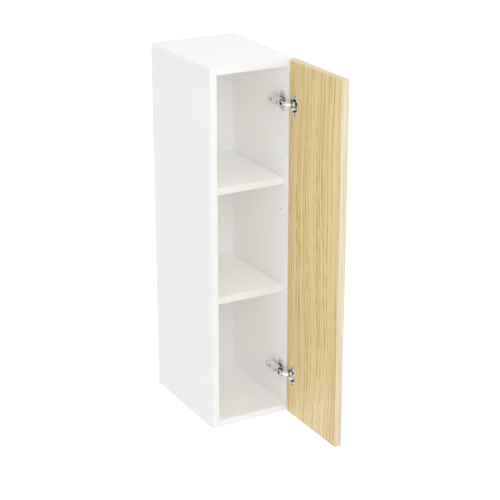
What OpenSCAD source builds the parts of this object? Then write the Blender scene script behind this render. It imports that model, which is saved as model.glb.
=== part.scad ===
// Hanging wall cabinet with two shelves and one veneered door on concealed cup hinges.
// +X is right, the front faces -Y, +Z is up. The origin lies on the wall plane, midway
// between the two wall screw holes. The door is modelled open at a right angle.

/* [Cabinet] */
// Overall width of the carcass
body_w = 228.6; // [180:0.1:460]
// Overall depth of the carcass, from the wall to its front edges
body_d = 304.8; // [250:0.1:400]
// Overall height of the carcass
body_h = 914.4; // [760:0.1:1100]
// Thickness of the side, top and bottom boards
board_t = 18; // [15:0.5:22]
// Thickness of the edge bands
band_t = 1; // [0.6:0.1:2]

/* [Back and hanging rails] */
// Thickness of the back panel
back_t = 6.4; // [3:0.1:8]
// Depth of the grooves that hold the back panel
groove_depth = 6; // [4:0.5:8]
// Thickness of the hanging rails behind the back panel
rail_t = 19; // [15:0.5:22]
// Height of each hanging rail
rail_h = 96; // [70:1:130]
// Distance of the wall screw holes below the top of the carcass
hang_drop = 48; // [40:1:60]
// Distance between the two wall screw holes
hang_spacing = 120; // [60:1:140]
// Diameter of the wall screw holes
hang_hole_d = 6; // [4.5:0.1:8]

/* [Shelves] */
// Thickness of the shelves
shelf_t = 18; // [15:0.5:22]
// Distance of the shelves' front edges behind the carcass front
shelf_setback = 24; // [15:1:50]
// Gap at each end of a shelf
shelf_end_gap = 0.8; // [0.3:0.1:1.5]
// Underside of the upper shelf below the top of the carcass
shelf_drop_upper = 316; // [260:1:360]
// Underside of the lower shelf below the top of the carcass
shelf_drop_lower = 596; // [520:1:640]
// Distance of the front pin row behind the carcass front
pin_row_front = 34; // [28:0.5:60]
// Distance of the rear pin row in front of the back panel
pin_row_back = 26; // [15:0.5:60]
// Step from the pin in use to the next hole above and below it
pin_hole_step = 64; // [32:32:96]
// Diameter of the shelf pins
pin_d = 5; // [4:0.5:6]
// Length of the pin tongue under a shelf
pin_tongue = 8; // [6:0.5:10]

/* [Dowels] */
// Diameter of the dowels
dowel_d = 8; // [6:1:10]
// Length of the dowels
dowel_len = 34; // [28:1:38]
// Depth of the dowel holes in the side boards
dowel_side_depth = 12; // [8:0.5:13]
// Number of dowels in each end of the top and bottom
dowel_count = 3; // [2:1:5]

/* [Door] */
// Amount by which the door is smaller than the carcass, each way
door_margin = 3.2; // [2:0.1:5]
// Total thickness of the door
door_t = 19; // [15.5:0.1:23]
// Thickness of each face veneer
veneer_t = 0.6; // [0.4:0.1:1]
// Gap between the closed door and the carcass
door_gap = 2; // [1.8:0.1:2.5]
// Distance in front of the carcass of the hinge edge of the open door
door_open_gap = 6; // [5.5:0.1:7]
// How far the open door's inner face stands inside the carcass's inner side face
door_open_inset = 0.4; // [0:0.1:1]
// Radius on the corners of the edge bands, as a share of their thickness
band_round = 0.4; // [0.2:0.05:0.5]

/* [Hinges] */
// Distance of each hinge from the top and from the bottom of the carcass
hinge_inset = 108; // [80:1:140]
// Diameter of the hinge cup
cup_d = 35; // [35:0.5:36]
// Inner depth of the hinge cup
cup_depth = 11.5; // [11.5:0.1:13.8]
// Distance from the cup's edge to the door's hinge edge
cup_edge = 3; // [3:0.1:3.2]
// Thickness of the cup's wall and bottom
cup_wall = 1; // [0.8:0.1:1]
// Thickness of the cup's flange
flange_t = 1.2; // [0.8:0.1:1.2]
// Distance from each cup screw to the flange's end
flange_end = 6; // [5.5:0.5:9]
// Width of the cup's flange
flange_w = 17; // [14:0.5:20]
// Distance from the cup's centre to the flange's centre line
flange_offset = 6; // [5:0.5:9.5]
// Distance between the two cup screws
cup_screw_spacing = 45; // [44:0.5:52]
// Distance of the plate screws behind the carcass front
plate_setback = 28; // [26:1:34]
// Width of the mounting plate's wings
plate_wing_w = 20; // [12:1:21]
// Distance between the two plate screws
plate_screw_spacing = 32; // [32:1:36]
// Distance from the carcass front to the rear end of the arm
arm_reach = 72; // [66:1:80]
// Outer width of the arm
arm_w = 17.4; // [16:0.1:20]
// Thickness of the arm's sheet
arm_sheet = 1.3; // [1:0.1:1.6]
// Width of the long link, which is a thick strap
long_link_w = 6.8; // [3:0.1:7.2]
// Thickness of a short link plate
link_plate_t = 1.2; // [0.9:0.1:1.3]
// Radius of the hinge pins
hinge_pin_r = 1; // [0.8:0.1:1.2]
// Radial running clearance of the hinge pins
hinge_pin_clear = 0.05; // [0.02:0.01:0.1]

/* [Hidden] */
$fn = 48;

// Small gaps and overshoots
fit = 0.05;           // radial gap of a pin, dowel or screw in its hole
groove_gap = 0.1;     // gap on each side of the back panel in its groove
groove_end_gap = 0.5; // gap between the back panel's edges and the groove's bottom
hole_spare = 1;       // how much deeper a hole is than what it takes
layer_gap = 0.2;      // gap between neighbouring layers of a hinge
cut = 1;              // how far a cut runs past a face
fine = 96;            // facets of the larger curves

// Carcass
top_z = hang_drop;
base_z = top_z - body_h;
inner_w = body_w - 2 * board_t;
inner_x = inner_w / 2;
front_y = -body_d;
board_front_y = front_y + band_t;
back_face_y = -(rail_t + back_t);
interior_top = top_z - board_t;
interior_base = base_z + board_t;

// Shelves
shelf_w = inner_w - 2 * shelf_end_gap;
shelf_front_y = front_y + shelf_setback;
shelf_back_gap = 1;
shelf_back_y = back_face_y - shelf_back_gap;
pin_r = pin_d / 2;
pin_stem = 9;
pin_hole_depth = pin_stem + hole_spare;
pin_tongue_share = 1.5;  // the tongue's width over the pin's diameter
pin_ys = [front_y + pin_row_front, back_face_y - pin_row_back];
upper_pin_z = top_z - shelf_drop_upper - pin_r;
lower_pin_z = top_z - shelf_drop_lower - pin_r;

// Dowels
dowel_r = dowel_d / 2;
dowel_end_depth = dowel_len - dowel_side_depth + hole_spare;
dowel_margin = 45;
dowel_front_y = front_y + dowel_margin;
dowel_back_y = back_face_y - dowel_margin;
dowel_ys = [for (i = [0 : dowel_count - 1])
  dowel_front_y + i * (dowel_back_y - dowel_front_y) / (dowel_count - 1)];
rail_dowel_inset = 22;
rail_dowel_y = -rail_t / 2;

// Door, in its own frame: x runs into its thickness from the inner face, y runs back
// from the hinge edge and z runs up from its lower edge
door_w = body_w - door_margin;
door_h = body_h - door_margin;
door_x = inner_x - door_open_inset;
door_y = front_y - door_open_gap;
door_z = base_z + door_margin / 2;

// Hinges in plan: u runs out from the side board's inner face, v runs forward from the
// carcass front. The door turns about a pole that carries its closed place to its open one.
closed_u = board_t - door_margin / 2;
// The plan place, with the door open, of a point at p = [distance from the hinge edge, depth]
function open_place(p) = [p[1] - door_open_inset, door_open_gap + p[0]];
span_u = -door_open_inset - closed_u;
span_v = door_open_gap - door_gap;
pole = [(closed_u - door_open_inset + span_v) / 2, (door_gap + door_open_gap - span_u) / 2];
// The place on the door, as distance from the hinge edge and depth, that stays at one
// distance from the arm pin a in both places. k says how far it lies from the pole.
function cup_pin(a, k) =
  let (mid = pole + k * (a - pole),
       deep_less_far = 2 * mid[0] - closed_u + door_open_inset,
       deep_and_far = 2 * mid[1] - door_gap - door_open_gap)
  [(deep_and_far - deep_less_far) / 2, (deep_and_far + deep_less_far) / 2];
long_arm_pin = [-16, 0];
short_arm_pin = [-16, -6];
long_cup_pin = cup_pin(long_arm_pin, 0.1);
short_cup_pin = cup_pin(short_arm_pin, 0.15);
long_sag = 7;
short_sag = 9;
link_half_w = 1.6;
link_eye_r = 2.1;
short_eye_r = 1.9;
open_pin_play = 1.3;   // play of the short link on its arm pin
open_eye_wall = 1.1;

// Levels across a hinge, counted up and down from its middle
cheek_t = 1.2;
long_link_level = long_link_w / 2;
cheek_in = long_link_level + layer_gap;
cheek_out = cheek_in + cheek_t;
short_link_in = cheek_out + layer_gap;
short_link_out = short_link_in + link_plate_t;
arm_pin_head_r = 2.6;
arm_pin_head_t = 0.6;
arm_pin_out = short_link_out + layer_gap;

// Cup
cup_rim = 1;           // how far the rim stands out round the cup
cup_under_gap = 0.1;
cup_pin_inset = 0.4;   // how far the pin stubs stay inside the cup's outer wall
cup_r = cup_d / 2;
cup_inner_r = cup_r - cup_wall;
cup_centre = cup_edge + cup_r;
cup_rim_r = cup_r + cup_rim;
cup_hole_depth = cup_depth + cup_wall + cup_under_gap;
flange_line = cup_centre + flange_offset;
flange_point = 4;
cup_cheek_half = 2.2;
link_notch_edge = cup_edge + 0.9;   // where the cup's mouth is notched for the links
link_notch_depth = 0.7;
link_notch_half = short_link_out + 2 * layer_gap;
cup_screw_r = 1.75;
cup_screw_len = 13;
cup_screw_head_r = 3.4;
cup_screw_head_t = 1.1;

// Arm and plate
arm_cover = 2.6;       // from the arm's pins to its outer face
arm_outer_u = long_arm_pin[0] - arm_cover;
arm_inner_u = -4;
arm_front_v = -13;
nose_r = 2.4;
nose_back_v = -26;
nose_inner_u = -8;
plate_t = 1.6;
riser_inset = 6;       // from the arm's rear end to the riser's
riser_side_gap = 0.3;
plate_wing_round = 5;
plate_wing_end = 9;    // from a plate screw to the wing's end
riser_top_u = -10;
riser_front_v = -15;
riser_back_v = -(arm_reach - riser_inset);
riser_step_v = nose_back_v - 1;
riser_foot_t = 2.6;
riser_half_z = arm_w / 2 - arm_sheet - riser_side_gap;
plate_screw_r = 2.5;
plate_screw_len = 12;
plate_screw_head_r = 4;
plate_screw_head_t = 1.6;
arm_screw_r = 2;
arm_screw_head_r = 3.6;
arm_screw_head_t = 1.4;
side_screw_v = -23;
clamp_screw_inset = 19;
clamp_screw_v = -(arm_reach - clamp_screw_inset);
clamp_screw_bite = 5;  // length of the clamping screw inside the riser
arm_slot_half_w = 2.6;
arm_slot_half_len = 5;
spring_t = 0.8;
spring_step = 3;       // from the arm pins' line to the spring
spring_screw_gap = 0.5;
spring_eye_gap = 2.5;
spring_u = short_arm_pin[0] + spring_step;
spring_back_v = side_screw_v + arm_screw_r + spring_screw_gap;
spring_front_v = short_arm_pin[1] - spring_eye_gap;

hinge_zs = [top_z - hinge_inset, base_z + hinge_inset];

// A board given by its lowest and highest corners
module board(low, high) {
  translate(low) cube(high - low);
}

// An edge band that stands along z, w wide in x and t deep, its outer corners rounded at -y
module band_strip(w, t, len) {
  r = band_round * t;
  linear_extrude(len) {
    translate([-w / 2 + r, -t]) square([w - 2 * r, t]);
    translate([-w / 2, -t + r]) square([w, t - r]);
    for (side = [-1, 1]) translate([side * (w / 2 - r), -t + r]) circle(r, $fn = 24);
  }
}

// A round hole or rod along x
module rod_x(r, x0, x1, y, z) {
  translate([x0, y, z]) rotate([0, 90, 0]) cylinder(h = x1 - x0, r = r);
}

// A round hole or rod along y
module rod_y(r, y0, y1, x, z) {
  translate([x, y0, z]) rotate([-90, 0, 0]) cylinder(h = y1 - y0, r = r);
}

// ---- Carcass ----

// The holes in a side board's inner face. The board's inner face is at x = 0 and its
// material lies on the +x side.
module side_holes() {
  for (y = pin_ys, z = [upper_pin_z, lower_pin_z], step = [-1, 0, 1])
    rod_x(pin_r + fit, -cut, pin_hole_depth, y, z + step * pin_hole_step);
  for (y = dowel_ys, z = [top_z - board_t / 2, base_z + board_t / 2])
    rod_x(dowel_r + fit, -cut, dowel_side_depth, y, z);
  for (z = rail_dowel_zs(0)) rod_x(dowel_r + fit, -cut, dowel_side_depth, rail_dowel_y, z);
  for (z = rail_dowel_zs(1)) rod_x(dowel_r + fit, -cut, dowel_side_depth, rail_dowel_y, z);
  board([-cut, back_face_y - groove_gap, interior_base - groove_depth],
        [groove_depth, back_face_y + back_t + groove_gap, interior_top + groove_depth]);
}

// Heights of the dowels of the upper rail (which = 0) or the lower rail (which = 1)
function rail_dowel_zs(which) =
  let (low = which == 0 ? interior_top - rail_h : interior_base)
  [low + rail_dowel_inset, low + rail_h - rail_dowel_inset];

module side_board() {
  board([0, board_front_y, base_z], [board_t, 0, top_z]);
}

module side_panel_left() {
  color("white") translate([-inner_x, 0, 0]) mirror([1, 0, 0])
    difference() {
      side_board();
      side_holes();
    }
}

module side_panel_right() {
  color("white") translate([inner_x, 0, 0])
    difference() {
      side_board();
      side_holes();
      for (hz = hinge_zs, side = [-1, 1])
        rod_x(plate_screw_r + fit, -cut, plate_screw_len - plate_t + hole_spare,
              front_y + plate_setback, hz + side * plate_screw_spacing / 2);
    }
}

// The top and bottom boards lie between the sides; the groove for the back is in the
// face towards the inside, at groove_z
module end_panel(low_z, groove_z) {
  color("white") difference() {
    board([-inner_x, board_front_y, low_z], [inner_x, 0, low_z + board_t]);
    translate([-inner_x - cut, back_face_y - groove_gap, groove_z])
      cube([inner_w + 2 * cut, back_t + 2 * groove_gap, groove_depth]);
    for (y = dowel_ys) {
      rod_x(dowel_r + fit, -inner_x - cut, -inner_x + dowel_end_depth, y, low_z + board_t / 2);
      rod_x(dowel_r + fit, inner_x - dowel_end_depth, inner_x + cut, y, low_z + board_t / 2);
    }
  }
}

module top_panel() { end_panel(interior_top, interior_top); }

module bottom_panel() { end_panel(base_z, interior_base - groove_depth); }

module wall_holes(y0, y1) {
  for (side = [-1, 1]) rod_y(hang_hole_d / 2, y0, y1, side * hang_spacing / 2, 0);
}

module back_panel() {
  reach = groove_depth - groove_end_gap;
  color("whitesmoke") difference() {
    board([-inner_x - reach, back_face_y, interior_base - reach],
          [inner_x + reach, back_face_y + back_t, interior_top + reach]);
    wall_holes(back_face_y - cut, back_face_y + back_t + cut);
  }
}

module rail_board(low_z, which) {
  difference() {
    board([-inner_x, -rail_t + groove_gap, low_z], [inner_x, 0, low_z + rail_h]);
    for (z = rail_dowel_zs(which)) {
      rod_x(dowel_r + fit, -inner_x - cut, -inner_x + dowel_end_depth, rail_dowel_y, z);
      rod_x(dowel_r + fit, inner_x - dowel_end_depth, inner_x + cut, rail_dowel_y, z);
    }
  }
}

module upper_hanging_rail() {
  color("burlywood") difference() {
    rail_board(interior_top - rail_h, 0);
    wall_holes(-rail_t - cut, cut);
  }
}

module lower_hanging_rail() {
  color("burlywood") rail_board(interior_base, 1);
}

module side_band(side) {
  color("white") translate([side * (inner_x + board_t / 2), board_front_y, base_z])
    band_strip(board_t, band_t, body_h);
}

module side_band_left() { side_band(-1); }

module side_band_right() { side_band(1); }

// A band on a front edge that runs along x
module cross_band(x0, x1, y, low_z, w) {
  translate([x0, y, low_z + w / 2]) rotate([0, 90, 0]) band_strip(w, band_t, x1 - x0);
}

module top_band() {
  color("white") cross_band(-inner_x, inner_x, board_front_y, interior_top, board_t);
}

module bottom_band() {
  color("white") cross_band(-inner_x, inner_x, board_front_y, base_z, board_t);
}

// Dowels at both ends of a board, at the given depths and heights
module end_dowels(ys, zs) {
  out = dowel_side_depth - hole_spare / 2;
  color("tan") for (y = ys, z = zs) {
    rod_x(dowel_r, inner_x + out - dowel_len, inner_x + out, y, z);
    rod_x(dowel_r, -inner_x - out, -inner_x - out + dowel_len, y, z);
  }
}

module top_dowels() { end_dowels(dowel_ys, [top_z - board_t / 2]); }

module bottom_dowels() { end_dowels(dowel_ys, [base_z + board_t / 2]); }

module upper_rail_dowels() { end_dowels([rail_dowel_y], rail_dowel_zs(0)); }

module lower_rail_dowels() { end_dowels([rail_dowel_y], rail_dowel_zs(1)); }

// ---- Shelves ----

module shelf(drop) {
  low = top_z - drop;
  color("white") board([-shelf_w / 2, shelf_front_y + band_t, low],
                       [shelf_w / 2, shelf_back_y, low + shelf_t]);
}

module shelf_band(drop) {
  color("white")
    cross_band(-shelf_w / 2, shelf_w / 2, shelf_front_y + band_t, top_z - drop, shelf_t);
}

// Four pins: a stem in the side board and a flat-topped tongue under the shelf
module shelf_pins(z) {
  tongue_w = pin_d * pin_tongue_share;
  color("silver") for (side = [-1, 1], y = pin_ys) scale([side, 1, 1]) {
    rod_x(pin_r, inner_x, inner_x + pin_stem, y, z);
    board([inner_x - pin_tongue, y - tongue_w / 2, z - pin_r / 2],
          [inner_x, y + tongue_w / 2, z + pin_r]);
  }
}

module upper_shelf() { shelf(shelf_drop_upper); }

module lower_shelf() { shelf(shelf_drop_lower); }

module upper_shelf_band() { shelf_band(shelf_drop_upper); }

module lower_shelf_band() { shelf_band(shelf_drop_lower); }

module upper_shelf_pins() { shelf_pins(upper_pin_z); }

module lower_shelf_pins() { shelf_pins(lower_pin_z); }

// ---- Door ----

module at_door() { translate([door_x, door_y, door_z]) children(); }

// The cup holes and screw holes, cut from the door's inner face
module door_holes() {
  for (hz = hinge_zs) translate([0, 0, hz - door_z]) {
    rod_x(cup_r + fit, -cut, cup_hole_depth, -cup_centre, 0);
    for (side = [-1, 1])
      rod_x(cup_screw_r + fit, -cut, cup_screw_len, -flange_line, side * cup_screw_spacing / 2);
  }
}

// A sheet of the door between two depths
module door_sheet(x0, x1) {
  board([x0, band_t - door_w, band_t], [x1, -band_t, door_h - band_t]);
}

module door_core() {
  color("burlywood") at_door() difference() {
    door_sheet(veneer_t, door_t - veneer_t);
    door_holes();
  }
}

module door_inner_veneer() {
  color([0.80, 0.68, 0.47]) at_door() difference() {
    door_sheet(0, veneer_t);
    door_holes();
  }
}

module door_outer_veneer() {
  color([0.80, 0.68, 0.47]) at_door() door_sheet(door_t - veneer_t, door_t);
}

module door_band_free() {
  color([0.90, 0.85, 0.74]) at_door() translate([door_t / 2, band_t - door_w, 0])
    band_strip(door_t, band_t, door_h);
}

module door_band_hinge() {
  color([0.90, 0.85, 0.74]) at_door() translate([door_t / 2, -band_t, 0]) mirror([0, 1, 0])
    band_strip(door_t, band_t, door_h);
}

// A band on the door's upper or lower edge, its outer face towards +z
module door_end_band() {
  translate([door_t / 2, -band_t, 0]) rotate([90, 0, 0]) mirror([0, 1, 0])
    band_strip(door_t, band_t, door_w - 2 * band_t);
}

module door_band_top() {
  color([0.90, 0.85, 0.74]) at_door() translate([0, 0, door_h - band_t]) door_end_band();
}

module door_band_bottom() {
  color([0.90, 0.85, 0.74]) at_door() translate([0, 0, band_t]) mirror([0, 0, 1])
    door_end_band();
}

// ---- Hinges ----

// Puts plan drawings (u, v) and a height above the hinge's middle into the cabinet
module at_hinge(i) {
  translate([inner_x, front_y, hinge_zs[i]]) mirror([0, 1, 0]) children();
}

// The same plan shape on both sides of the middle, between two levels
module both_levels(low, high) {
  for (side = [-1, 1]) scale([1, 1, side]) translate([0, 0, low])
    linear_extrude(high - low) children();
}

// A curved link outline from p to q that bulges to the left of the way from p to q
module link_outline(p, q, sag, p_eye, q_eye) {
  along = (q - p) / norm(q - p);
  left = [-along[1], along[0]];
  half = norm(q - p) / 2;
  bend_r = (half * half + sag * sag) / (2 * sag);
  centre = (p + q) / 2 - left * (bend_r - sag);
  far = 3 * bend_r;
  difference() {
    union() {
      intersection() {
        translate(centre) difference() {
          circle(bend_r + link_half_w, $fn = fine);
          circle(bend_r - link_half_w, $fn = fine);
        }
        polygon([centre, centre + far * (p - centre) / bend_r, centre + far * left,
                 centre + far * (q - centre) / bend_r]);
      }
      translate(p) circle(p_eye[1]);
      translate(q) circle(q_eye[1]);
    }
    translate(p) circle(p_eye[0]);
    translate(q) circle(q_eye[0]);
  }
}

running_r = hinge_pin_r + hinge_pin_clear;

module long_link(i) {
  color("silver") at_hinge(i) translate([0, 0, -long_link_level])
    linear_extrude(2 * long_link_level)
      link_outline(long_arm_pin, open_place(long_cup_pin), long_sag,
                   [running_r, link_eye_r], [running_r, link_eye_r]);
}

module short_link(i) {
  play_r = hinge_pin_r + open_pin_play;
  color("silver") at_hinge(i) both_levels(short_link_in, short_link_out)
    link_outline(short_arm_pin, open_place(short_cup_pin), short_sag,
                 [play_r, play_r + open_eye_wall], [running_r, short_eye_r]);
}

module upper_long_link() { long_link(0); }

module lower_long_link() { long_link(1); }

module upper_short_link() { short_link(0); }

module lower_short_link() { short_link(1); }

// The arm: a channel over the plate, and a narrow nose of two cheeks that holds both pins
module hinge_arm(i) {
  half = arm_w / 2;
  color("silver") at_hinge(i) difference() {
    union() {
      board([arm_outer_u, -arm_reach, -half], [arm_outer_u + arm_sheet, arm_front_v, half]);
      for (side = [-1, 1]) scale([1, 1, side])
        board([arm_outer_u, -arm_reach, half - arm_sheet], [arm_inner_u, arm_front_v, half]);
      both_levels(cheek_in, cheek_out) nose_outline();
    }
    for (p = [long_arm_pin, short_arm_pin])
      translate([p[0], p[1], -half]) cylinder(h = arm_w, r = hinge_pin_r + fit);
    rod_x(arm_screw_r + fit, arm_outer_u - cut, nose_inner_u + cut, side_screw_v, 0);
    for (end = [-1, 1])
      rod_x(arm_slot_half_w, arm_outer_u - cut, arm_outer_u + arm_sheet + cut,
            clamp_screw_v + end * (arm_slot_half_len - arm_slot_half_w), 0);
    slot_run = arm_slot_half_len - arm_slot_half_w;
    board([arm_outer_u - cut, clamp_screw_v - slot_run, -arm_slot_half_w],
          [arm_outer_u + arm_sheet + cut, clamp_screw_v + slot_run, arm_slot_half_w]);
  }
}

// Plan outline of one cheek of the arm's nose
module nose_outline() {
  translate(long_arm_pin) circle(nose_r);
  translate(short_arm_pin) circle(nose_r);
  polygon([[long_arm_pin[0] - nose_r, long_arm_pin[1]], [long_arm_pin[0] + nose_r, long_arm_pin[1]],
           [short_arm_pin[0] + nose_r, short_arm_pin[1]], [nose_inner_u, arm_front_v],
           [nose_inner_u, nose_back_v], [arm_outer_u + arm_sheet / 2, nose_back_v],
           [arm_outer_u + arm_sheet / 2, short_arm_pin[1]]]);
}

module upper_hinge_arm() { hinge_arm(0); }

module lower_hinge_arm() { hinge_arm(1); }

// The mounting plate: wings against the side board and a riser inside the arm
module hinge_plate(i) {
  wing_end = plate_screw_spacing / 2 + plate_wing_end;
  corner = plate_wing_w / 2 - plate_wing_round;
  color("silver") at_hinge(i) difference() {
    union() {
      for (side = [-1, 1], way = [-1, 1])
        rod_x(plate_wing_round, -plate_t, 0, -plate_setback + way * corner,
              side * (wing_end - plate_wing_round));
      board([-plate_t, -plate_setback - plate_wing_w / 2, -wing_end + plate_wing_round],
            [0, -plate_setback + plate_wing_w / 2, wing_end - plate_wing_round]);
      board([-plate_t, -plate_setback - corner, -wing_end],
            [0, -plate_setback + corner, wing_end]);
      board([riser_top_u, riser_back_v, -riser_half_z], [0, riser_step_v, riser_half_z]);
      board([-riser_foot_t, riser_step_v, -riser_half_z], [0, riser_front_v, riser_half_z]);
    }
    for (side = [-1, 1])
      rod_x(plate_screw_r + fit, -plate_t - cut, cut, -plate_setback,
            side * plate_screw_spacing / 2);
    rod_x(arm_screw_r + fit, riser_top_u - cut, riser_top_u + clamp_screw_bite + hole_spare,
          clamp_screw_v, 0);
  }
}

module upper_hinge_plate() { hinge_plate(0); }

module lower_hinge_plate() { hinge_plate(1); }

// Moves from a hinge's middle line to the open door's frame at that height
module at_cup(i) { translate([door_x, door_y, hinge_zs[i]]) children(); }

// Outline of the flange on the door's face, as (distance from the hinge edge, height)
module flange_outline() {
  half = cup_screw_spacing / 2 + flange_end;
  polygon([[flange_line - flange_w / 2, -half + flange_point], [flange_line, -half],
           [flange_line + flange_w / 2, -half + flange_point],
           [flange_line + flange_w / 2, half - flange_point], [flange_line, half],
           [flange_line - flange_w / 2, half - flange_point]]);
  translate([cup_centre, 0]) circle(cup_rim_r, $fn = fine);
}

// Two cheeks inside the cup that hold the long link's pin
module cup_cheeks() {
  far = long_cup_pin[0] + cup_cheek_half;
  near = cup_edge + cup_wall / 2;
  for (side = [-1, 1]) scale([1, 1, side])
    board([long_cup_pin[1] - cup_cheek_half, -far, cheek_in],
          [cup_depth + cup_wall / 2, -near, cheek_out]);
}

module hinge_cup(i) {
  color("silver") at_cup(i) difference() {
    union() {
      difference() {
        union() {
          rod_x(cup_r, 0, cup_depth + cup_wall, -cup_centre, 0);
          translate([-flange_t, 0, 0]) rotate([90, 0, 90]) linear_extrude(flange_t)
            mirror([1, 0]) flange_outline();
        }
        rod_x(cup_inner_r, -flange_t - cut, cup_depth, -cup_centre, 0);
        board([-flange_t - cut, -cup_centre, -link_notch_half],
              [link_notch_depth, -link_notch_edge, link_notch_half]);
      }
      intersection() {
        cup_cheeks();
        rod_x(cup_r - cup_wall / 2, 0, cup_depth + cup_wall, -cup_centre, 0);
      }
    }
    for (side = [-1, 1])
      rod_x(cup_screw_r + fit, -flange_t - cut, cut, -flange_line, side * cup_screw_spacing / 2);
    translate([long_cup_pin[1], -long_cup_pin[0], -cheek_out - cut])
      cylinder(h = 2 * (cheek_out + cut), r = hinge_pin_r + fit);
    translate([short_cup_pin[1], -short_cup_pin[0], -cup_r])
      cylinder(h = 2 * cup_r, r = hinge_pin_r + fit);
  }
}

module upper_hinge_cup() { hinge_cup(0); }

module lower_hinge_cup() { hinge_cup(1); }

// Pins fixed in the arms: a short one for the long link, a headed one for the short link
module hinge_arm_pins() {
  color("gray") for (i = [0, 1]) at_hinge(i) {
    translate([long_arm_pin[0], long_arm_pin[1], -cheek_out])
      cylinder(h = 2 * cheek_out, r = hinge_pin_r);
    translate([short_arm_pin[0], short_arm_pin[1], -arm_pin_out])
      cylinder(h = 2 * arm_pin_out, r = hinge_pin_r);
    for (side = [-1, 1]) scale([1, 1, side])
      translate([short_arm_pin[0], short_arm_pin[1], arm_pin_out])
        cylinder(h = arm_pin_head_t, r = arm_pin_head_r);
  }
}

// Pins fixed in the cups: one between the cheeks and a stub at each side wall
module hinge_cup_pins() {
  stub_in = cheek_out + layer_gap / 2;
  stub_out = sqrt(pow(cup_r - cup_pin_inset, 2)
                  - pow(cup_centre - short_cup_pin[0] + hinge_pin_r, 2));
  color("gray") for (i = [0, 1]) at_cup(i) {
    translate([long_cup_pin[1], -long_cup_pin[0], -cheek_out])
      cylinder(h = 2 * cheek_out, r = hinge_pin_r);
    for (side = [-1, 1]) scale([1, 1, side])
      translate([short_cup_pin[1], -short_cup_pin[0], stub_in])
        cylinder(h = stub_out - stub_in, r = hinge_pin_r);
  }
}

// A pan head with a cross recess on its -x face, and its shank towards +x
module cross_screw(head_r, head_t, shank_r, shank_len) {
  recess = head_t * 0.6;
  slot_half = head_r * 0.12;
  arm_half = head_r * 0.6;
  difference() {
    union() {
      rod_x(head_r, -head_t, 0, 0, 0);
      rod_x(shank_r, 0, shank_len, 0, 0);
    }
    board([-head_t - cut, -slot_half, -arm_half], [-head_t + recess, slot_half, arm_half]);
    board([-head_t - cut, -arm_half, -slot_half], [-head_t + recess, arm_half, slot_half]);
  }
}

module hinge_cup_screws() {
  color("silver") for (i = [0, 1], side = [-1, 1])
    at_cup(i) translate([-flange_t, -flange_line, side * cup_screw_spacing / 2])
      cross_screw(cup_screw_head_r, cup_screw_head_t, cup_screw_r, cup_screw_len);
}

module hinge_plate_screws() {
  color("silver") for (i = [0, 1], side = [-1, 1])
    at_hinge(i) translate([-plate_t, -plate_setback, side * plate_screw_spacing / 2])
      cross_screw(plate_screw_head_r, plate_screw_head_t, plate_screw_r, plate_screw_len);
}

module hinge_adjusting_screws() {
  reach = nose_inner_u - arm_outer_u - layer_gap;
  color("dimgray") for (i = [0, 1]) at_hinge(i) translate([arm_outer_u, side_screw_v, 0])
    cross_screw(arm_screw_head_r, arm_screw_head_t, arm_screw_r, reach);
}

module hinge_clamping_screws() {
  color("dimgray") for (i = [0, 1]) at_hinge(i) translate([arm_outer_u, clamp_screw_v, 0])
    cross_screw(arm_screw_head_r, arm_screw_head_t, arm_screw_r,
                riser_top_u + clamp_screw_bite - arm_outer_u);
}

// A flat leaf in each arm's nose that presses the long link and draws the door shut
module hinge_springs() {
  color("gray") for (i = [0, 1]) at_hinge(i)
    board([spring_u, spring_back_v, -cheek_in], [spring_u + spring_t, spring_front_v, cheek_in]);
}

side_panel_left();
side_panel_right();
top_panel();
bottom_panel();
back_panel();
upper_hanging_rail();
lower_hanging_rail();
side_band_left();
side_band_right();
top_band();
bottom_band();
top_dowels();
bottom_dowels();
upper_rail_dowels();
lower_rail_dowels();
upper_shelf();
lower_shelf();
upper_shelf_band();
lower_shelf_band();
upper_shelf_pins();
lower_shelf_pins();
door_core();
door_inner_veneer();
door_outer_veneer();
door_band_free();
door_band_hinge();
door_band_top();
door_band_bottom();
upper_hinge_plate();
lower_hinge_plate();
upper_hinge_arm();
lower_hinge_arm();
upper_long_link();
lower_long_link();
upper_short_link();
lower_short_link();
upper_hinge_cup();
lower_hinge_cup();
hinge_arm_pins();
hinge_cup_pins();
hinge_cup_screws();
hinge_plate_screws();
hinge_adjusting_screws();
hinge_clamping_screws();
hinge_springs();
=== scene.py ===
import math

import bpy
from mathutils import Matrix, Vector


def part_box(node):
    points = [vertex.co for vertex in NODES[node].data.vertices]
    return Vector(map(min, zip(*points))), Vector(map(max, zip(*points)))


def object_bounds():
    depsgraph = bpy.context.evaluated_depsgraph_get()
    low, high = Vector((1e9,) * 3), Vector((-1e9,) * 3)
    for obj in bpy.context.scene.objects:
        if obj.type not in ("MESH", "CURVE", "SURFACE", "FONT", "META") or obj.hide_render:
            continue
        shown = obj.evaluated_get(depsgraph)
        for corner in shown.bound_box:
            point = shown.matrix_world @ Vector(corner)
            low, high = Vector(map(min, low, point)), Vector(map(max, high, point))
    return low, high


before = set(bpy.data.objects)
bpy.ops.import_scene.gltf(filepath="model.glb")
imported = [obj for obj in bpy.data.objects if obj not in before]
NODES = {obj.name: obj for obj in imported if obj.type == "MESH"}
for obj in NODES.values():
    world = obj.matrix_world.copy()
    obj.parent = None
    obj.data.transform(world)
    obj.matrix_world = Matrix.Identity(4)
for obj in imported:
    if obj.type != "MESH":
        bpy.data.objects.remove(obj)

CAD_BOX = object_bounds()
FREE_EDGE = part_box("door_core")[0].y     # the open door's free edge, towards the front
HINGE_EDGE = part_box("door_core")[1].y    # and its hinge edge

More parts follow.
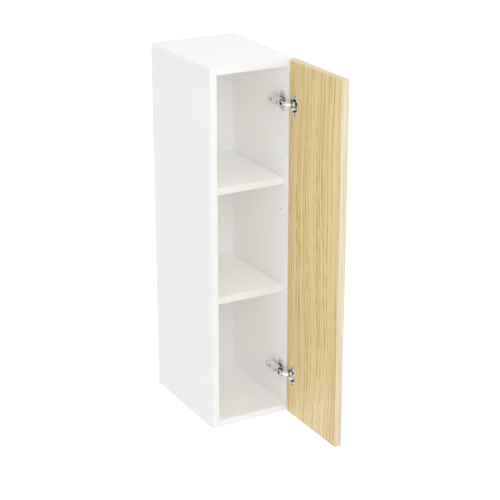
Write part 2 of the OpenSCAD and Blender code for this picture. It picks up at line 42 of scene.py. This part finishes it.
# ---------------------------------------------------------------- view and studio
CAMERA_YAW = 29.15        # degrees the camera stands round to the left of the front
CAMERA_PITCH = 20.53      # degrees it looks down
CAMERA_DISTANCE = 3.686   # metres from the middle of the cabinet's front
CAMERA_ASIDE = -0.0084    # metres the aim lies to the left of that middle
CAMERA_BELOW = 0.0025     # metres the aim lies below that middle
CAMERA_LENS = 110.0       # mm on a 36 mm sensor

HANGING_HEIGHT = 1.35     # metres from the cabinet's underside down to the floor
FLOOR_RADIUS = 60.0       # metres, so that the floor fills the view
AMBIENT = 0.85            # what the white room gives from the front, back, top and floor
AMBIENT_LEFT = 0.48       # what its left side gives
AMBIENT_RIGHT = 0.66      # and its right side
AMBIENT_MIDDLE = 0.55     # where it gives most, from 0 at the far left to 1 at the far right
FLOOR_GLOW = 0.40         # keeps the floor as white as the room behind it
BOUNCES = 12              # a white interior needs many, or its corners go grey
BACKDROP_WHITE = 1.0      # how bright the room looks behind the cabinet
# each softbox: its place in metres from the middle of the cabinet's front, side, watts
SOFTBOXES = {
    "softbox_front": ((-0.8, -2.6, 1.6), 1.6, 23),
    "softbox_top": ((0.0, -0.6, 3.0), 2.4, 19),
}


def front_middle():
    """The middle of the carcass's open front."""
    low_left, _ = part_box("side_panel_left")
    _, high_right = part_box("side_panel_right")
    return Vector(((low_left.x + high_right.x) / 2, low_left.y,
                   (low_left.z + high_right.z) / 2))


def add_camera():
    """A long lens, to the left of the front and a little above it."""
    yaw, pitch = math.radians(CAMERA_YAW), math.radians(CAMERA_PITCH)
    forward = Vector((math.sin(yaw) * math.cos(pitch),
                      math.cos(yaw) * math.cos(pitch), -math.sin(pitch)))
    aim = front_middle() + Vector((CAMERA_ASIDE, 0, -CAMERA_BELOW))
    camera = bpy.data.objects.new("camera", bpy.data.cameras.new("camera"))
    camera.data.lens = CAMERA_LENS
    camera.location = aim - forward * CAMERA_DISTANCE
    camera.rotation_mode = "QUATERNION"
    camera.rotation_quaternion = forward.to_track_quat("-Z", "Y")
    bpy.context.scene.collection.objects.link(camera)
    bpy.context.scene.camera = camera


def add_softbox(name, place, aim, side, power):
    """A square softbox that faces aim."""
    light = bpy.data.lights.new(name, "AREA")
    light.shape = "SQUARE"
    light.size = side
    light.energy = power
    lamp = bpy.data.objects.new(name, light)
    lamp.location = place
    lamp.rotation_mode = "QUATERNION"
    lamp.rotation_quaternion = (aim - place).to_track_quat("-Z", "Y")
    bpy.context.scene.collection.objects.link(lamp)


def add_room():
    """A white room that shows as plain white and lights less from its left and right."""
    world = bpy.data.worlds.new("room")
    world.use_nodes = True
    tree = world.node_tree
    tree.nodes.clear()
    seen = tree.nodes.new("ShaderNodeBackground")
    seen.inputs["Color"].default_value = (1, 1, 1, 1)
    seen.inputs["Strength"].default_value = BACKDROP_WHITE
    lit = tree.nodes.new("ShaderNodeBackground")
    lit.inputs["Color"].default_value = (1, 1, 1, 1)
    way = tree.nodes.new("ShaderNodeTexCoord")
    axes = tree.nodes.new("ShaderNodeSeparateXYZ")
    sideways = tree.nodes.new("ShaderNodeMapRange")
    sideways.inputs["From Min"].default_value = -1.0
    shade = tree.nodes.new("ShaderNodeValToRGB")
    stops = ((0.0, AMBIENT_LEFT), (AMBIENT_MIDDLE, AMBIENT), (1.0, AMBIENT_RIGHT))
    shade.color_ramp.elements.new(0.5)
    for element, (position, strength) in zip(shade.color_ramp.elements, stops):
        element.position = position
        element.color = (strength, strength, strength, 1)
    tree.links.new(way.outputs["Generated"], axes.inputs["Vector"])
    tree.links.new(axes.outputs["X"], sideways.inputs["Value"])
    tree.links.new(sideways.outputs["Result"], shade.inputs["Fac"])
    tree.links.new(shade.outputs["Color"], lit.inputs["Strength"])
    path = tree.nodes.new("ShaderNodeLightPath")
    mix = tree.nodes.new("ShaderNodeMixShader")
    out = tree.nodes.new("ShaderNodeOutputWorld")
    tree.links.new(path.outputs["Is Camera Ray"], mix.inputs["Fac"])
    tree.links.new(lit.outputs[0], mix.inputs[1])
    tree.links.new(seen.outputs[0], mix.inputs[2])
    tree.links.new(mix.outputs[0], out.inputs["Surface"])
    bpy.context.scene.world = world


def add_floor():
    """The pale floor, as far below the cabinet as it hangs on a wall."""
    underside = CAD_BOX[0].z
    bpy.ops.mesh.primitive_circle_add(vertices=96, radius=FLOOR_RADIUS, fill_type="NGON",
                                      location=(0, 0, underside - HANGING_HEIGHT))
    floor = bpy.context.object
    floor.name = "floor"
    look = Look("floor_white", base=(0.86, 0.86, 0.86), roughness=0.9)
    grain = look.noise(look.object_space(), scale=3.0, detail=4)
    look.link(look.ramp(grain, [(0.3, (0.84, 0.84, 0.84)), (0.7, (0.88, 0.88, 0.88))]),
              "Base Color")
    look.shader.inputs["Emission Color"].default_value = (1, 1, 1, 1)
    look.shader.inputs["Emission Strength"].default_value = FLOOR_GLOW
    floor.data.materials.append(look.material)


def light_studio():
    """Soft light from all round, the front and above, weaker from the two sides."""
    bpy.context.scene.view_settings.view_transform = "Standard"
    bpy.context.scene.view_settings.look = "None"
    bpy.context.scene.cycles.max_bounces = BOUNCES
    bpy.context.scene.cycles.diffuse_bounces = BOUNCES
    middle = front_middle()
    add_room()
    add_floor()
    for name, (offset, side, power) in SOFTBOXES.items():
        add_softbox(name, middle + Vector(offset), middle, side, power)


# ---------------------------------------------------------------- materials
# lengths are in metres
BOARD_EDGE_WEAR_AND_HIGHLIGHT = 0.0012  # how far in from an edge the boards and bands are rubbed and painted lighter as a highlight
METAL_EDGE_WEAR_AND_HIGHLIGHT = 0.0004  # and the hinges and screws
PAINTED_SHADE_REACH = 0.008      # how far round itself a hinge part looks for shut-in places, which get painted shade
HINGE_SIDE_SHADE = 0.026  # how far in from the hinge edge the oak is darker
FREE_SIDE_SHADE = 0.018   # and from the free edge

OAK_CLOUDS = ((0.835, 0.650, 0.305), (0.890, 0.722, 0.395))
OAK_SHADED = (0.76, 0.53, 0.19)
OAK_PALE = (0.93, 0.785, 0.480)
OAK_LINE = (0.64, 0.355, 0.075)
OAK_HAIR = (0.70, 0.43, 0.12)
OAK_FIBRE = (0.60, 0.41, 0.16)
OAK_PORE = (0.40, 0.235, 0.085)
# paler colours for rubbed edges, which also stand in as painted edge highlights
BAND_RUBBED_HIGHLIGHT = (0.80, 0.72, 0.58)
METAL_RUBBED_HIGHLIGHT = (0.96, 0.96, 0.95)


class Look:
    """One procedural material: a Principled shader and short calls that wire nodes to it."""

    def __init__(self, name, base, roughness, metallic=0.0):
        self.material = bpy.data.materials.new(name)
        self.material.use_nodes = True
        self.tree = self.material.node_tree
        self.shader = self.tree.nodes["Principled BSDF"]
        self.shader.inputs["Base Color"].default_value = (*base, 1)
        self.shader.inputs["Roughness"].default_value = roughness
        self.shader.inputs["Metallic"].default_value = metallic

    def node(self, kind, **settings):
        made = self.tree.nodes.new(kind)
        for key, value in settings.items():
            setattr(made, key, value)
        return made

    def wire(self, value, socket):
        """Puts a number, a colour or another node's output on a socket."""
        if isinstance(value, bpy.types.NodeSocket):
            self.tree.links.new(value, socket)
        elif isinstance(value, tuple):
            socket.default_value = (*value, 1)
        else:
            socket.default_value = value

    def link(self, value, name):
        self.wire(value, self.shader.inputs[name])

    def object_space(self, stretch=(1, 1, 1)):
        """Places on the object in metres, each axis multiplied by its stretch."""
        place = self.node("ShaderNodeTexCoord").outputs["Object"]
        mapping = self.node("ShaderNodeMapping")
        mapping.inputs["Scale"].default_value = stretch
        self.wire(place, mapping.inputs["Vector"])
        return mapping.outputs["Vector"]

    def noise(self, place, scale=1.0, detail=2.0, roughness=0.5):
        made = self.node("ShaderNodeTexNoise")
        self.wire(place, made.inputs["Vector"])
        made.inputs["Scale"].default_value = scale
        made.inputs["Detail"].default_value = detail
        made.inputs["Roughness"].default_value = roughness
        return made.outputs["Fac"]

    def ramp(self, value, stops):
        """A colour ramp; a stop is (position, colour)."""
        made = self.node("ShaderNodeValToRGB")
        self.wire(value, made.inputs["Fac"])
        elements = made.color_ramp.elements
        while len(elements) < len(stops):
            elements.new(0.5)
        for element, (position, colour) in zip(elements, stops):
            element.position = position
            element.color = (*colour, 1)
        return made.outputs["Color"]

    def span(self, value, low, high, out_low=0.0, out_high=1.0):
        """value between low and high, taken to between out_low and out_high."""
        made = self.node("ShaderNodeMapRange")
        for name, number in (("Value", value), ("From Min", low), ("From Max", high),
                             ("To Min", out_low), ("To Max", out_high)):
            self.wire(number, made.inputs[name])
        return made.outputs["Result"]

    def math(self, operation, a, b):
        made = self.node("ShaderNodeMath", operation=operation)
        self.wire(a, made.inputs[0])
        self.wire(b, made.inputs[1])
        return made.outputs["Value"]

    def mix(self, amount, a, b):
        """Colour a, with the given amount of colour b in it."""
        made = self.node("ShaderNodeMix", data_type="RGBA")
        self.wire(amount, made.inputs["Factor"])
        # the node has a float, a vector and a colour pair; these are the colour's
        self.wire(a, made.inputs[6])
        self.wire(b, made.inputs[7])
        return made.outputs[2]

    def split(self, place):
        made = self.node("ShaderNodeSeparateXYZ")
        self.wire(place, made.inputs["Vector"])
        return made.outputs

    def join(self, x, y, z):
        made = self.node("ShaderNodeCombineXYZ")
        for value, socket in zip((x, y, z), made.inputs):
            self.wire(value, socket)
        return made.outputs["Vector"]

    def edges(self, radius):
        """1 on sharp edges, fading to 0 at about radius from them."""
        bevel = self.node("ShaderNodeBevel", samples=4)
        bevel.inputs["Radius"].default_value = radius
        plain = self.node("ShaderNodeNewGeometry")
        dot = self.node("ShaderNodeVectorMath", operation="DOT_PRODUCT")
        self.wire(bevel.outputs["Normal"], dot.inputs[0])
        self.wire(plain.outputs["Normal"], dot.inputs[1])
        return self.span(dot.outputs["Value"], 0.999, 0.90)

    def relief(self, height, distance, strength):
        """Bump from height, distance metres high."""
        made = self.node("ShaderNodeBump")
        made.inputs["Strength"].default_value = strength
        made.inputs["Distance"].default_value = distance
        self.wire(height, made.inputs["Height"])
        self.link(made.outputs["Normal"], "Normal")


def melamine(name, low, high, worn_highlight, roughness=0.36):
    """Satin white foil: a fine pearl grain, faint cloudiness and slightly rubbed edges painted
    lighter as a highlight.
    """
    look = Look(name, base=high, roughness=roughness)
    place = look.object_space()
    cloud = look.noise(place, scale=9.0, detail=3)
    pearl = look.noise(place, scale=1400.0, detail=2)
    colour = look.ramp(look.math("ADD", cloud, look.span(pearl, 0.3, 0.7, -0.06, 0.06)),
                       [(0.30, low), (0.70, high)])
    # painted highlight: rubbed edges, rougher and painted lighter in patches
    edge = look.edges(BOARD_EDGE_WEAR_AND_HIGHLIGHT)
    scuff = look.noise(place, scale=60.0, detail=4)
    wear_and_highlight = look.math("MULTIPLY", edge, look.span(scuff, 0.40, 0.75))
    look.link(look.mix(wear_and_highlight, colour, worn_highlight), "Base Color")
    shine = look.span(look.noise(place, scale=220.0, detail=3), 0.3, 0.7,
                      roughness - 0.06, roughness + 0.06)
    look.link(look.math("ADD", shine, look.math("MULTIPLY", wear_and_highlight, 0.12)), "Roughness")
    look.relief(pearl, 0.00001, 0.3)
    return look.material


def particle_board(name):
    """Bare chipboard edges and rails: packed flakes of several browns."""
    look = Look(name, base=(0.55, 0.38, 0.2), roughness=0.85)
    place = look.object_space()
    flakes = look.node("ShaderNodeTexVoronoi", feature="F1")
    look.wire(place, flakes.inputs["Vector"])
    flakes.inputs["Scale"].default_value = 520.0
    tone = look.split(flakes.outputs["Color"])[0]
    dust = look.noise(place, scale=1800.0, detail=3)
    colour = look.ramp(look.math("ADD", look.math("MULTIPLY", tone, 0.7),
                                 look.math("MULTIPLY", dust, 0.3)),
                       [(0.05, (0.27, 0.16, 0.08)), (0.35, (0.50, 0.34, 0.18)),
                        (0.65, (0.62, 0.45, 0.25)), (0.95, (0.74, 0.58, 0.37))])
    look.link(colour, "Base Color")
    look.link(look.span(tone, 0, 1, 0.78, 0.95), "Roughness")
    look.relief(look.math("ADD", tone, dust), 0.0002, 0.5)
    return look.material


def oak_veneer():
    """Lacquered oak with upright grain: wandering growth lines, broken streaks, open pores."""
    look = Look("oak_veneer_look", base=(0.80, 0.64, 0.34), roughness=0.42)
    x, across, along = look.split(look.object_space())

    def stretched(across_by, along_by, source=across, depth_by=40.0):
        """A place whose noise is along_by per metre along the grain and across_by across."""
        return look.join(look.math("MULTIPLY", source, across_by),
                         look.math("MULTIPLY", x, depth_by),
                         look.math("MULTIPLY", along, along_by))

    # the grain lines wander a little on their way up
    lean = look.noise(stretched(5.0, 2.3), detail=1)
    ripple = look.noise(stretched(22.0, 14.0), detail=2)
    wander = look.math("ADD", look.span(lean, 0.2, 0.8, -0.011, 0.011),
                       look.span(ripple, 0.2, 0.8, -0.0022, 0.0022))
    u = look.math("ADD", across, wander)

    lines = look.noise(stretched(265.0, 1.5, u), detail=1, roughness=0.3)
    breaks = look.noise(stretched(150.0, 26.0, u), detail=2)
    hairs = look.noise(stretched(520.0, 9.0, u), detail=2)
    fibre = look.noise(stretched(2400.0, 30.0, u, 600.0), detail=2)
    pores = look.span(look.noise(stretched(1500.0, 75.0, u, 600.0), detail=1), 0.62, 0.72)
    cloud = look.noise(stretched(16.0, 1.6, u), detail=2)

    colour = look.ramp(cloud, list(zip((0.30, 0.70), OAK_CLOUDS)))
    by_hinges = look.span(across, HINGE_EDGE - HINGE_SIDE_SHADE, HINGE_EDGE, 0.0, 0.55)
    by_free = look.span(across, FREE_EDGE + FREE_SIDE_SHADE, FREE_EDGE, 0.0, 0.40)
    colour = look.mix(look.math("ADD", by_hinges, by_free), colour, OAK_SHADED)
    pale = look.span(lines, 0.46, 0.30, 0.0, 0.35)
    colour = look.mix(pale, colour, OAK_PALE)
    line = look.math("MULTIPLY", look.span(lines, 0.53, 0.60),
                     look.span(breaks, 0.36, 0.54, 0.2, 1.0))
    colour = look.mix(look.math("MULTIPLY", line, 0.85), colour, OAK_LINE)
    hair = look.math("MULTIPLY", look.span(hairs, 0.55, 0.66),
                     look.span(breaks, 0.60, 0.42, 0.2, 1.0))
    colour = look.mix(look.math("MULTIPLY", hair, 0.50), colour, OAK_HAIR)
    colour = look.mix(look.span(fibre, 0.35, 0.75, 0.0, 0.12), colour, OAK_FIBRE)
    open_pores = look.math("MULTIPLY", pores, look.span(lines, 0.42, 0.60, 0.10, 0.55))
    colour = look.mix(open_pores, colour, OAK_PORE)
    look.link(colour, "Base Color")
    look.link(look.span(fibre, 0.3, 0.7, 0.36, 0.50), "Roughness")
    look.shader.inputs["Coat Weight"].default_value = 0.15
    look.shader.inputs["Coat Roughness"].default_value = 0.25
    look.relief(look.math("SUBTRACT", look.math("MULTIPLY", fibre, 0.25), pores),
                0.0001, 0.4)
    return look.material


def oak_band():
    """Pale oak edging: thin lines along the strip on each side of the door."""
    look = Look("oak_band_look", base=(0.80, 0.72, 0.56), roughness=0.45)
    lines = look.noise(look.object_space(stretch=(300, 5, 5)), detail=2)
    fibre = look.noise(look.object_space(stretch=(2400, 60, 60)), detail=2)
    colour = look.ramp(look.math("ADD", look.math("MULTIPLY", lines, 0.7),
                                 look.math("MULTIPLY", fibre, 0.3)),
                       [(0.36, (0.68, 0.53, 0.32)), (0.50, (0.75, 0.63, 0.44)),
                        (0.64, (0.82, 0.73, 0.57))])
    # painted highlight: the band's edges are paler, for rubbing and for the light they catch
    edge = look.edges(BOARD_EDGE_WEAR_AND_HIGHLIGHT)
    colour = look.mix(look.math("MULTIPLY", edge, 0.4), colour, BAND_RUBBED_HIGHLIGHT)
    look.link(colour, "Base Color")
    look.link(look.span(fibre, 0.3, 0.7, 0.38, 0.52), "Roughness")
    look.relief(fibre, 0.00006, 0.5)
    return look.material


def beech():
    """Turned dowels: pale wood with short dark flecks."""
    look = Look("beech_look", base=(0.6, 0.42, 0.24), roughness=0.6)
    place = look.object_space(stretch=(1400, 1400, 160))
    fleck = look.noise(place, detail=2)
    look.link(look.ramp(fleck, [(0.40, (0.66, 0.48, 0.29)), (0.68, (0.45, 0.29, 0.15))]),
              "Base Color")
    look.link(look.span(fleck, 0.3, 0.7, 0.5, 0.7), "Roughness")
    look.relief(fleck, 0.0001, 0.4)
    return look.material


def plated_metal(name, low, high, roughness, brush, soil_and_shade):
    """Plated steel: fine brushing, faint clouding, painted shade in recesses, rubbed edges
    painted lighter as a highlight.
    """
    look = Look(name, base=high, roughness=roughness, metallic=1.0)
    cloud = look.noise(look.object_space(), scale=45.0, detail=2)
    lines = look.noise(look.object_space(stretch=brush), detail=2)
    colour = look.ramp(cloud, [(0.32, low), (0.68, high)])
    colour = look.mix(look.span(lines, 0.45, 0.75, 0.0, 0.08), colour, soil_and_shade)
    # painted shade: the more shut in a place is, the more it takes the dark soil colour
    recess_shade = look.node("ShaderNodeAmbientOcclusion", samples=8)
    recess_shade.inputs["Distance"].default_value = PAINTED_SHADE_REACH
    colour = look.mix(look.span(recess_shade.outputs["AO"], 0.62, 0.22), colour, soil_and_shade)
    # painted highlight: the edges are paler, for rubbing and for the light they catch
    edge = look.edges(METAL_EDGE_WEAR_AND_HIGHLIGHT)
    look.link(look.mix(look.math("MULTIPLY", edge, 0.5), colour, METAL_RUBBED_HIGHLIGHT), "Base Color")
    look.link(look.span(look.math("ADD", cloud, look.math("MULTIPLY", lines, 0.3)),
                        0.4, 1.0, roughness - 0.05, roughness + 0.07), "Roughness")
    look.relief(lines, 0.000008, 0.3)
    return look.material


def dress_nodes():
    """Gives every CAD node the look of its slot."""
    looks = {
        # each white: its low and high tone, then its rubbed edge colour, which is also a
        # painted highlight
        "white_board": melamine("white_board_look", (0.938, 0.938, 0.932),
                                (0.956, 0.956, 0.952), (0.97, 0.97, 0.967)),
        "white_back": melamine("white_back_look", (0.900, 0.898, 0.892),
                               (0.916, 0.915, 0.911), (0.93, 0.93, 0.927), 0.5),
        "white_band": melamine("white_band_look", (0.844, 0.860, 0.880),
                               (0.856, 0.872, 0.892), (0.872, 0.888, 0.906)),
        "raw_board": particle_board("raw_board_look"),
        "dowel_wood": beech(),
        "oak_veneer": oak_veneer(),
        "oak_band": oak_band(),
        # the last colour of each metal is its grime and also the painted shade in its recesses
        "hinge_nickel": plated_metal("hinge_nickel_look", (0.90, 0.90, 0.90),
                                     (0.96, 0.96, 0.955), 0.16, (300, 2600, 900),
                                     (0.075, 0.052, 0.035)),
        "screw_steel": plated_metal("screw_steel_look", (0.50, 0.51, 0.52),
                                    (0.66, 0.66, 0.66), 0.30, (2600, 2600, 700),
                                    (0.10, 0.08, 0.06)),
    }
    for node in NODES.values():
        for place in node.material_slots:
            place.material = looks[place.material.name.split(".")[0]]


# ---------------------------------------------------------------- the scene
add_camera()
light_studio()
dress_nodes()
